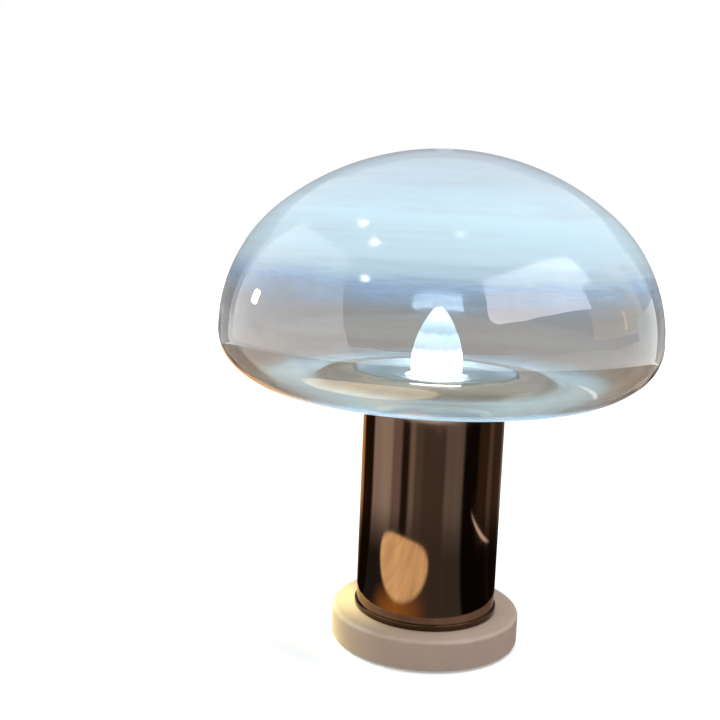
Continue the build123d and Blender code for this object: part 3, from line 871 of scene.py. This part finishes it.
@dataclass
class Gallery(Assembly):
    """What the shade rests on: silicone ring, spun dish with its collar, and the lampholder's cup."""

    edge: float = 0.5 * MM
    ring_width: float = 8.0 * MM
    ring: Piece | None = None

    def build(self) -> None:
        """Turns the silicone ring; the dish and the cup keep their CAD shape."""
        low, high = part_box("seat_ring")
        self.ring = tube("silicone_seat_ring", high.x, high.x - self.ring_width, low.z, high.z, self.edge)

    def dress(self) -> None:
        """Gives the ring, dish and cup their finishes."""
        silicone = Moulded("translucent_silicone", (0.72, 0.76, 0.78), 0.38, 900.0, 4e-6, 0.08, 0.35).make()
        place_piece(self.ring, "stand", "silicone", silicone, "seat_ring")
        spun = Metal("spun_aluminium", (0.77, 0.86, 0.92), Grain.SPUN, 0.42, 0.12, 3e-6,
                     (0.62, 0.66, 0.70), 0.25).make()
        dress(spun, "shade_gallery", "holder_cup")


@dataclass
class Stem(Assembly):
    """The polished tube and the ring round its foot, with the rod and nuts that hold them."""

    wall: float = 1.5 * MM
    edge: float = 0.45 * MM
    foot_gap: float = 0.6 * MM
    foot_inset: float = 0.9 * MM
    foot_lip: float = 2.5 * MM
    foot_clearance: float = 0.05 * MM
    foot_edge: float = 0.2 * MM
    bore_edge: float = 0.1 * MM
    tube: Piece | None = None
    foot: Piece | None = None

    def build(self) -> None:
        """Turns the tube and the foot ring."""
        low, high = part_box("stem_tube")
        self.tube = tube("polished_stem", high.x, high.x - self.wall, low.z, high.z, self.edge)
        self.foot = self.build_foot(high.x)

    def build_foot(self, stem_radius: float) -> Piece:
        """Turns the foot ring: a floor under the tube, a shadow gap below and a rounded shoulder.

        Args:
            stem_radius: Outer radius of the tube.

        Returns:
            The ring.
        """
        low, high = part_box("foot_ring")
        gap = self.foot_gap
        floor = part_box("stem_tube")[0].z
        inner = stem_radius - self.wall - self.foot_lip
        bore = stem_radius + self.foot_clearance
        plinth = high.x - self.foot_inset
        pen = Outline("bronze_foot_ring", inner, low.z)
        pen.to(plinth, low.z).to(plinth, low.z + gap).to(high.x, low.z + gap, self.foot_edge)
        pen.to(high.x, high.z, gap).to(bore, high.z, self.bore_edge).to(bore, floor).to(inner, floor)
        pen.to(inner, low.z)
        return pen.turn()

    def dress(self) -> None:
        """Gives tube, ring and the steel inside their finishes."""
        place_piece(self.tube, "stand", "stem_bronze", DarkBronze().make(), "stem_tube")
        ring = Metal("foot_ring_bronze", (0.075, 0.045, 0.027), Grain.SPUN, 0.12, 0.08, 1.5e-6,
                     (0.13, 0.08, 0.05), 0.35).make()
        place_piece(self.foot, "stand", "ring_bronze", ring, "foot_ring")
        zinc = Metal("bright_zinc", (0.60, 0.61, 0.62), Grain.TUMBLED, 0.28, 0.16, 2e-6,
                     (0.52, 0.50, 0.42), 0.4).make()
        dress(zinc, "centring_plate", "base_washer", "base_nut", "plate_washer", "plate_nut",
              "cup_washer", "cup_nut", "threaded_tube", "ballast_screws", "cover_screws",
              "clamp_screws", "block_screw", "terminal_screws")


@dataclass
class Base(Assembly):
    """The painted disc with its ballast, cover and foam foot."""

    foam: Colour = (0.030, 0.030, 0.032)
    cover: Colour = (0.016, 0.016, 0.018)

    def dress(self) -> None:
        """Gives disc, ballast, cover and foot their finishes."""
        dress(PaintedBase().make(), "base_disc")
        iron = Moulded("primed_cast_iron", (0.028, 0.028, 0.030), 0.62, 420.0, 6e-5, 0.3).make()
        dress(iron, "ballast_plate")
        dress(Moulded("moulded_black_cover", self.cover, 0.42, 1100.0, 1.2e-5, 0.2).make(), "bottom_cover")
        dress(Moulded("foot_foam", self.foam, 0.85, 1500.0, 8e-5, 0.35).make(), "foot_pad")


@dataclass
class CordEntry(Assembly):
    """The bush in the back wall, the clamp, and the terminals with their leads."""

    nylon: Colour = (0.020, 0.020, 0.022)

    def dress(self) -> None:
        """Gives bush, clamp, terminals, leads and every brass contact their finishes."""
        black = Moulded("black_nylon", self.nylon, 0.40, 1300.0, 6e-6, 0.2).make()
        dress(black, "cord_bush", "inlet_nut", "cord_clamp")
        dress(Moulded("natural_nylon", (0.70, 0.69, 0.64), 0.42, 1300.0, 6e-6, 0.08, 0.2).make(),
              "terminal_block")
        brass = Metal("stamped_brass", (0.66, 0.47, 0.20), Grain.TUMBLED, 0.24, 0.14, 2e-6,
                      (0.36, 0.22, 0.09), 0.5).make()
        dress(brass, "terminal_barrels", "centre_contact", "side_contact", "thread_sleeve", "bulb_tip")
        dress(Moulded("brown_insulation", (0.10, 0.035, 0.015), 0.34, 800.0, 4e-6).make(), "live_lead")
        dress(Moulded("blue_insulation", (0.012, 0.075, 0.30), 0.34, 800.0, 4e-6).make(), "neutral_lead")


@dataclass
class Lampholder(Assembly):
    """The moulded holder inside the cup."""

    thermoset: Colour = (0.76, 0.74, 0.69)

    def dress(self) -> None:
        """Gives the holder its moulded finish."""
        shell = Moulded("off_white_thermoset", self.thermoset, 0.36, 900.0, 8e-6, 0.06).make()
        dress(shell, "holder_cap", "holder_body", "holder_insert")


@dataclass
class CandleBulb(Assembly):
    """The lit bulb: cap, moulded cone, boards and opal envelope."""

    bulge_height: float = 0.012
    side_angle: float = 39.4
    wall: float = 1.2 * MM
    steps: tuple[int, ...] = (8, 24, 12)
    cone_wall: float = 1.4 * MM
    cone_foot: float = 8.0 * MM
    cone_inset: float = 0.35 * MM
    cone_rim: float = 1.5 * MM
    cone_floor: float = 3.0 * MM
    foot_edge: float = 0.3 * MM
    rim_edge: float = 0.9 * MM
    envelope: Piece | None = None
    cone: Piece | None = None

    def build(self) -> None:
        """Draws the opal envelope and the moulded cone."""
        low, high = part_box("bulb_envelope")
        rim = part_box("bulb_housing")[1].x
        widest = high.x
        widest_height = low.z + self.bulge_height
        pen = Outline("opal_envelope", rim, low.z)
        self.skin(pen, widest, rim, widest_height, high.z, 0.0)
        pen.to(0.0, high.z - self.wall)
        self.skin(pen, widest, rim, widest_height, high.z, self.wall)
        pen.to(rim, low.z)
        self.envelope = pen.turn(SMALL_ROUND_STEPS)
        self.cone = self.build_cone(rim)

    def skin(self, pen: Outline, widest: float, rim: float, middle: float, top: float,
             inset: float) -> None:
        """Draws one skin of the envelope, upwards for the outer one and downwards for the inner one.

        Args:
            pen: The outline so far.
            widest: Largest radius.
            rim: Radius at the rim.
            middle: Height of the widest line.
            top: Height of the tip.
            inset: Distance inside the outer skin.
        """
        swell = widest - rim
        swell_radius = (swell ** 2 + self.bulge_height ** 2) / (2 * swell)
        start = math.degrees(math.asin(self.bulge_height / swell_radius))
        side, tip = oval_arcs(widest - inset, top - middle - inset, self.side_angle)
        turns = [((widest - swell_radius, middle), start),
                 ((widest - inset - side, middle), self.side_angle),
                 ((0.0, top - inset - tip), 90.0 - self.side_angle)]
        stretches = [(*turn, steps) for turn, steps in zip(turns, self.steps)]
        if inset == 0.0:
            pen.arcs(stretches)
        else:
            pen.arcs_back(stretches)

    def build_cone(self, rim: float) -> Piece:
        """Turns the moulded cone between cap and envelope.

        Args:
            rim: Its upper radius.

        Returns:
            The cone.
        """
        low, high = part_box("bulb_housing")
        cap_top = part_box("bulb_cap")[1].z
        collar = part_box("bulb_cap")[1].x - self.cone_inset
        bore = collar - self.cone_wall
        pen = Outline("moulded_bulb_cone", bore, low.z)
        pen.to(collar, low.z).to(collar, cap_top).to(self.cone_foot, cap_top, self.foot_edge)
        pen.to(rim, high.z - self.cone_rim, self.rim_edge).to(rim, high.z).to(rim - self.cone_wall, high.z)
        pen.to(bore, cap_top + self.cone_floor).to(bore, low.z)
        return pen.turn(SMALL_ROUND_STEPS)

    def dress(self) -> None:
        """Gives envelope, cone, cap and boards their finishes."""
        place_piece(self.envelope, "bulb", "bulb_shell", OpalGlow().make(), "bulb_envelope")
        cone = Moulded("white_moulded_cone", (0.82, 0.84, 0.86), 0.28, 700.0, 4e-6, 0.05).make()
        place_piece(self.cone, "bulb", "bulb_plastic", cone, "bulb_housing")
        dress(Metal("cap_nickel_plate", (0.66, 0.64, 0.60), Grain.SPUN, 0.18, 0.10, 2e-6,
                    (0.45, 0.42, 0.36), 0.3).make(), "bulb_cap")
        dress(Moulded("vitrite", (0.012, 0.012, 0.016), 0.12, 300.0, 4e-6, 0.3).make(), "bulb_insulator")
        dress(Moulded("white_solder_mask", (0.72, 0.76, 0.72), 0.30, 500.0, 6e-6, 0.1).make(),
              "driver_board", "led_board")
        dress(Moulded("chip_phosphor", (0.84, 0.62, 0.10), 0.35, 2500.0, 8e-6, 0.15).make(), "led_chips")


# ------------------------------------------------------------------ studio

@dataclass
class Softbox:
    """A rectangular studio lamp that lights the piece but isn't mirrored in it."""

    name: str
    place: Point
    width: float
    height: float
    watts: float
    aim: Point = (0.0, 0.0, 0.17)

    def build(self) -> None:
        """Adds the lamp."""
        light = hang_light("AREA", self.name, self.watts, WHITE, self.place, self.aim)
        light.shape = "RECTANGLE"
        light.size = self.width
        light.size_y = self.height


@dataclass
class AccentLamps:
    """A narrow warm lamp on the left of the base, and a cool glow above the bulb."""

    place: Point = (-0.44, 0.14, 0.36)
    aim: Point = (-0.060, 0.004, 0.022)
    softness: float = 0.02
    watts: float = 42.0
    cone: float = 10.0
    colour: Colour = (0.93, 1.0, 0.52)
    glow_height: float = 0.246
    glow_watts: float = 0.60
    glow_colour: Colour = (0.55, 0.88, 1.0)

    def build(self) -> None:
        """Adds both lamps."""
        warm = hang_light("SPOT", "warm_spot", self.watts, self.colour, self.place, self.aim)
        warm.spot_size = math.radians(self.cone)
        warm.spot_blend = 1.0
        warm.shadow_soft_size = self.softness
        above = (0.0, 0.0, self.glow_height)
        glow = hang_light("POINT", "bulb_glow", self.glow_watts, self.glow_colour, above, (0.0, 0.0, 0.0))
        glow.shadow_soft_size = self.softness


def hang_light(kind: str, name: str, watts: float, colour: Colour, place: Point,
               aim: Point) -> bpy.types.Light:
    """Adds a lamp, points it, and keeps it out of sight and out of reflections.

    Args:
        kind: Blender's name of its kind.
        name: Name of the lamp.
        watts: Its power.
        colour: Its colour.
        place: Where it hangs.
        aim: The point that it faces.

    Returns:
        The lamp.
    """
    light = bpy.data.lights.new(name, kind)
    light.energy = watts
    light.color = colour
    holder = bpy.data.objects.new(light.name, light)
    bpy.context.scene.collection.objects.link(holder)
    holder.location = place
    holder.rotation_euler = (Vector(aim) - Vector(place)).to_track_quat("-Z", "Y").to_euler()
    holder.visible_camera = False
    holder.visible_glossy = False
    holder.visible_transmission = False
    return light


def mirrored_only(piece: Piece) -> None:
    """Stages a piece that only polished surfaces mirror, as a studio card does.

    Args:
        piece: The piece.
    """
    piece.visible_camera = False
    piece.visible_diffuse = False
    piece.visible_transmission = False
    piece.visible_volume_scatter = False
    piece.visible_shadow = False


@dataclass
class Card:
    """A glowing card round the lamp. Azimuth counts from the front towards +X, in degrees."""

    name: str
    azimuth: float
    distance: float
    width: float
    low: float
    high: float
    tone: Colour
    top_cut: float = 0.0
    foot_lift: float = 0.0
    rounding: float = 0.0
    segments: int = 6

    def build(self) -> None:
        """Adds the card, draws in its upper far corner, lifts its lower far corner and rounds all four."""
        turn = math.radians(self.azimuth)
        deselect_all()
        bpy.ops.mesh.primitive_plane_add(size=1.0)
        card = bpy.context.object
        card.name = self.name
        card.scale = (self.width, self.high - self.low, 1.0)
        card.rotation_euler = (math.pi / 2, 0.0, 0.0)
        card.location = (0.0, -self.distance, (self.high + self.low) / 2)
        bpy.ops.object.transform_apply(location=True, rotation=True, scale=True)
        self.move_corner(card, self.high, (-self.top_cut, 0.0, 0.0))
        self.move_corner(card, self.low, (0.0, 0.0, self.foot_lift))
        if self.rounding:
            bpy.ops.object.mode_set(mode="EDIT")
            bpy.ops.mesh.select_all(action="SELECT")
            bpy.ops.mesh.bevel(offset=self.rounding, segments=self.segments, affect="VERTICES")
            bpy.ops.object.mode_set(mode="OBJECT")
        card.rotation_euler = (0.0, 0.0, turn)
        bpy.ops.object.transform_apply(rotation=True)
        self.light_up(card)

    def move_corner(self, card: Piece, height: float, step: Point) -> None:
        """Moves the corner at a height on the card's far side.

        Args:
            card: The card, facing the front.
            height: Height of the corner.
            step: How far it moves.
        """
        corner = Vector((self.width / 2, -self.distance, height))
        nearest = min(card.data.vertices, key=lambda point: (point.co - corner).length)
        nearest.co += Vector(step)

    def light_up(self, card: Piece) -> None:
        """Gives the card its slightly uneven glow.

        Args:
            card: The card.
        """
        graph = Graph(self.name)
        tone = graph.ramp(graph.noise(5.0), [(0.3, scaled(self.tone, 0.9)), (0.7, scaled(self.tone, 1.05))])
        card.data.materials.append(graph.glowing(tone))
        mirrored_only(card)


@dataclass(frozen=True)
class Stripe:
    """One upright stripe of the reflected room, between two azimuths, darker by a share near the lamp."""

    start: float
    end: float
    tone: Colour
    near_share: float


@dataclass
class ReflectedRoom:
    """A low round cloth about the lamp: upright stripes, a sunlit patch with its glow, and a bright strip."""

    inner: float = 0.0685
    radius: float = 0.42
    height: float = 0.13
    corner: float = 0.04
    softness: float = 2.5
    near: float = 0.19
    stripe_level: float = 0.75
    patch_azimuth: float = -39.0
    patch_distance: float = 0.197
    patch_half: Pair = (0.083, 0.152)
    patch_tilt: float = 10.0
    patch_tone: Colour = (2.85, 2.20, 1.22)
    patch_softness: float = 0.14
    glow_distance: float = 0.100
    glow_half: Pair = (0.055, 0.090)
    glow_softness: float = 0.9
    glow_tone: Colour = (0.95, 0.42, 0.10)
    strip_place: Pair = (0.290, -0.032)
    strip_half: Pair = (0.150, 0.012)
    strip_turn: float = 116.0
    strip_softness: float = 0.5
    strip_tone: Colour = (1.9, 1.8, 1.65)

    def stripes(self) -> list[Stripe]:
        """The stripes, from the back over the left side to the front and on round the right side.

        Returns:
            The stripes, each ending where the next one starts.
        """
        rows = [(-136.0, (1.50, 0.82, 0.32), 0.10), (-102.0, (0.06, 0.035, 0.02), 0.40),
                (-62.0, (1.28, 1.20, 1.15), 0.06), (-46.0, (0.66, 0.56, 0.52), 0.12),
                (-33.0, (0.08, 0.05, 0.04), 0.50), (-25.0, (0.78, 0.72, 0.66), 0.20),
                (-12.0, (0.36, 0.31, 0.27), 0.55), (21.0, (0.25, 0.205, 0.18), 0.80),
                (49.0, (0.58, 0.55, 0.52), 0.32), (76.0, (0.02, 0.014, 0.012), 0.60),
                (98.0, (0.13, 0.085, 0.06), 0.12), (110.0, (0.36, 0.28, 0.22), 0.08),
                (142.0, (0.17, 0.12, 0.09), 0.12), (180.0, (0.48, 0.40, 0.33), 0.06)]
        starts = [-180.0] + [end for end, _, _ in rows]
        return [Stripe(start, *row) for start, row in zip(starts, rows)]

    def build(self) -> None:
        """Turns the cloth and paints it."""
        pen = Outline("reflected_room", self.inner, MM)
        pen.to(self.radius, MM, self.corner).to(self.radius, self.height)
        cloth = pen.turn(SMALL_ROUND_STEPS)
        cloth.data.materials.append(self.paint())
        mirrored_only(cloth)

    def paint(self) -> Material:
        """Stripes by azimuth, darker towards the lamp, with the patch, its glow and the strip on top.

        Returns:
            The cloth's material.
        """
        graph = Graph("reflected_room")
        reach = graph.fade(graph.across(), self.near, self.radius)
        azimuth = graph.azimuth()
        near = [(place, scaled(stripe.tone, self.stripe_level * stripe.near_share))
                for place, stripe in self.edges()]
        far = [(place, scaled(stripe.tone, self.stripe_level)) for place, stripe in self.edges()]
        tone = graph.blend(reach, graph.ramp(azimuth, near), graph.ramp(azimuth, far))
        glow = graph.patch(self.along_patch(self.glow_distance), self.glow_half,
                           self.patch_azimuth - 90.0, self.glow_softness)
        tone = graph.blend(glow, tone, self.glow_tone)
        streaks = graph.noise(30.0, 3.0, 0.6, graph.stretched((1.0, 0.15, 1.0)))
        warm = graph.ramp(streaks, [(0.35, scaled(self.patch_tone, 0.72)), (0.65, self.patch_tone)])
        sunlit = graph.patch(self.along_patch(self.patch_distance), self.patch_half,
                             self.patch_azimuth - 90.0 + self.patch_tilt, self.patch_softness)
        tone = graph.blend(sunlit, tone, warm)
        strip = graph.patch(self.strip_place, self.strip_half, self.strip_turn, self.strip_softness)
        tone = graph.blend(strip, tone, self.strip_tone)
        return graph.glowing(tone)

    def edges(self) -> list[tuple[float, Stripe]]:
        """Where each stripe's even part starts and ends, from 0 to 1 round the lamp."""
        return [(azimuth / 360.0 + 0.5, stripe) for stripe in self.stripes()
                for azimuth in (stripe.start + self.softness, stripe.end - self.softness)]

    def along_patch(self, distance: float) -> Pair:
        """The point at a distance from the lamp in the patch's direction, in X and Y."""
        turn = math.radians(self.patch_azimuth)
        return math.sin(turn) * distance, -math.cos(turn) * distance


@dataclass
class Studio:
    """Floor, surroundings, lamps, cards and the camera at the photograph's viewing angle."""

    camera_place: Point = (0.0, -0.700, 0.303)
    yaw: float = -4.34
    pitch: float = 8.68
    roll: float = -2.23
    lens: float = 51.1
    sensor: float = 36.0
    nearest: float = 0.01
    floor_size: float = 14.0
    floor_near: float = 0.35
    floor_far: float = 1.6
    floor_lift: float = 0.34
    ambient: float = 0.36

    def build(self) -> None:
        """Builds the whole studio."""
        self.build_camera()
        self.build_world()
        self.build_floor()
        for lamp in self.lamps():
            lamp.build()
        AccentLamps().build()
        ReflectedRoom().build()
        for card in self.cards():
            card.build()

    def build_camera(self) -> None:
        """Adds the camera, turned by yaw, pitch and roll."""
        yaw, pitch, roll = (math.radians(value) for value in (self.yaw, self.pitch, self.roll))
        forward = Vector((math.sin(yaw) * math.cos(pitch), math.cos(yaw) * math.cos(pitch), -math.sin(pitch)))
        level = Vector((math.cos(yaw), -math.sin(yaw), 0.0))
        down = forward.cross(level)
        right = level * math.cos(roll) + down * math.sin(roll)
        up = level * math.sin(roll) - down * math.cos(roll)
        camera = bpy.data.objects.new("camera", bpy.data.cameras.new("camera"))
        bpy.context.scene.collection.objects.link(camera)
        camera.matrix_world = Matrix.Translation(self.camera_place) @ Matrix(
            (right, up, -forward)).transposed().to_4x4()
        camera.data.lens = self.lens
        camera.data.sensor_width = self.sensor
        camera.data.clip_start = self.nearest
        bpy.context.scene.camera = camera

    def build_world(self) -> None:
        """White where the camera, metal and glass look, and an even soft light otherwise."""
        world = bpy.data.worlds.new("studio")
        bpy.context.scene.world = world
        world.use_nodes = True
        tree = world.node_tree
        tree.nodes.clear()
        seen = seen_rays(tree)
        strength = tree.nodes.new("ShaderNodeMapRange")
        strength.inputs["To Min"].default_value = self.ambient
        strength.inputs["To Max"].default_value = 1.0
        sky = tree.nodes.new("ShaderNodeBackground")
        sky.inputs["Color"].default_value = (*WHITE, 1.0)
        output = tree.nodes.new("ShaderNodeOutputWorld")
        tree.links.new(seen, strength.inputs["Value"])
        tree.links.new(strength.outputs[0], sky.inputs["Strength"])
        tree.links.new(sky.outputs[0], output.inputs["Surface"])

    def build_floor(self) -> None:
        """A plain pale floor that is white where no shadow falls and runs out into the white behind."""
        deselect_all()
        bpy.ops.mesh.primitive_plane_add(size=self.floor_size)
        floor = bpy.context.object
        floor.name = "studio_floor"
        graph = Graph("studio_floor")
        pale = graph.ramp(graph.noise(3.0), [(0.3, (0.80, 0.80, 0.80)), (0.7, (0.82, 0.82, 0.82))])
        cloth = graph.add("ShaderNodeBsdfDiffuse", {0: pale})
        lift = graph.fade(graph.across(), self.floor_near, self.floor_far, self.floor_lift, 1.0)
        glow = graph.add("ShaderNodeEmission", {1: graph.math("MULTIPLY", seen_rays(graph.tree), lift)})
        floor.data.materials.append(graph.done(graph.add("ShaderNodeAddShader", {
            0: cloth.outputs[0], 1: glow.outputs[0]})))

    def lamps(self) -> list[Softbox]:
        """The studio's lamps.

        Returns:
            The lamps, overhead and in front.
        """
        return [
            Softbox("key_softbox", (-0.9, -0.5, 2.4), 1.4, 1.4, 24.0),
            Softbox("fill_softbox", (0.8, 0.2, 2.4), 1.2, 1.2, 34.0),
            Softbox("front_softbox", (0.2, -2.2, 0.9), 1.2, 0.8, 0.2),
        ]

    def cards(self) -> list[Card]:
        """Windows and small lights that the glass mirrors.

        Returns:
            The cards, windows first.
        """
        window = (2.25, 2.17, 2.12)
        bright = (4.6, 4.2, 4.1)
        cool = (1.75, 1.8, 1.7)
        flag = (0.36, 0.35, 0.34)
        pale_flag = (0.55, 0.57, 0.60)
        spark = (48.0, 49.0, 50.0)
        warm = (26.0, 19.0, 10.0)
        return [
            Card("left_window", -80.0, 1.2, 2.15, 0.0, 1.56, window, 0.65),
            Card("right_window", 56.0, 1.2, 1.53, 0.60, 1.55, bright, 0.0, 0.08, 0.16),
            Card("right_wall", 96.0, 1.25, 0.90, 0.28, 0.95, (1.7, 1.5, 1.2), rounding=0.06),
            Card("side_window", 118.0, 0.9, 0.37, 0.0, 0.34, cool),
            Card("left_flag", -152.0, 0.95, 0.95, 0.0, 0.75, flag),
            Card("right_flag", 155.0, 1.0, 0.90, 0.0, 0.75, flag),
            Card("back_flag", 180.0, 1.3, 1.1, 0.3, 1.2, pale_flag),
            Card("left_spark", -91.5, 0.75, 0.08, 1.66, 1.74, spark, rounding=0.03),
            Card("upper_spark", -58.0, 0.80, 0.08, 1.52, 1.60, spark, rounding=0.03),
            Card("lower_spark", -42.6, 1.10, 0.07, 1.06, 1.13, spark, rounding=0.03),
            Card("top_spark", 24.8, 0.45, 0.09, 1.76, 1.84, spark, rounding=0.03),
            Card("warm_bulb", -101.6, 1.05, 0.12, 0.36, 0.48, warm, rounding=0.04),
            Card("short_glint", 96.6, 0.90, 0.03, 0.30, 0.42, (3.0, 2.2, 1.5)),
        ]


def seen_rays(tree: bpy.types.NodeTree) -> Socket:
    """1 for rays by which the camera, metal and glass see a surface, and 0 for rays that carry light.

    Args:
        tree: The material's or world's nodes.

    Returns:
        The share.
    """
    path = tree.nodes.new("ShaderNodeLightPath")
    value = path.outputs["Is Camera Ray"]
    for ray in ("Is Glossy Ray", "Is Transmission Ray"):
        either = tree.nodes.new("ShaderNodeMath")
        either.operation = "MAXIMUM"
        tree.links.new(value, either.inputs[0])
        tree.links.new(path.outputs[ray], either.inputs[1])
        value = either.outputs[0]
    return value


def main() -> None:
    """Builds and dresses the lamp piece by piece, then the studio."""
    logging.basicConfig(level=logging.INFO, format="%(message)s")
    bpy.context.scene.view_settings.view_transform = "Standard"
    for part in (GlassShade(), Gallery(), Stem(), Base(), CordEntry(), Lampholder(), CandleBulb()):
        part.build()
        part.dress()
        LOG.info("built %s", type(part).__name__)
    Studio().build()
    LOG.info("built Studio")


if __name__ == "__main__":
    main()
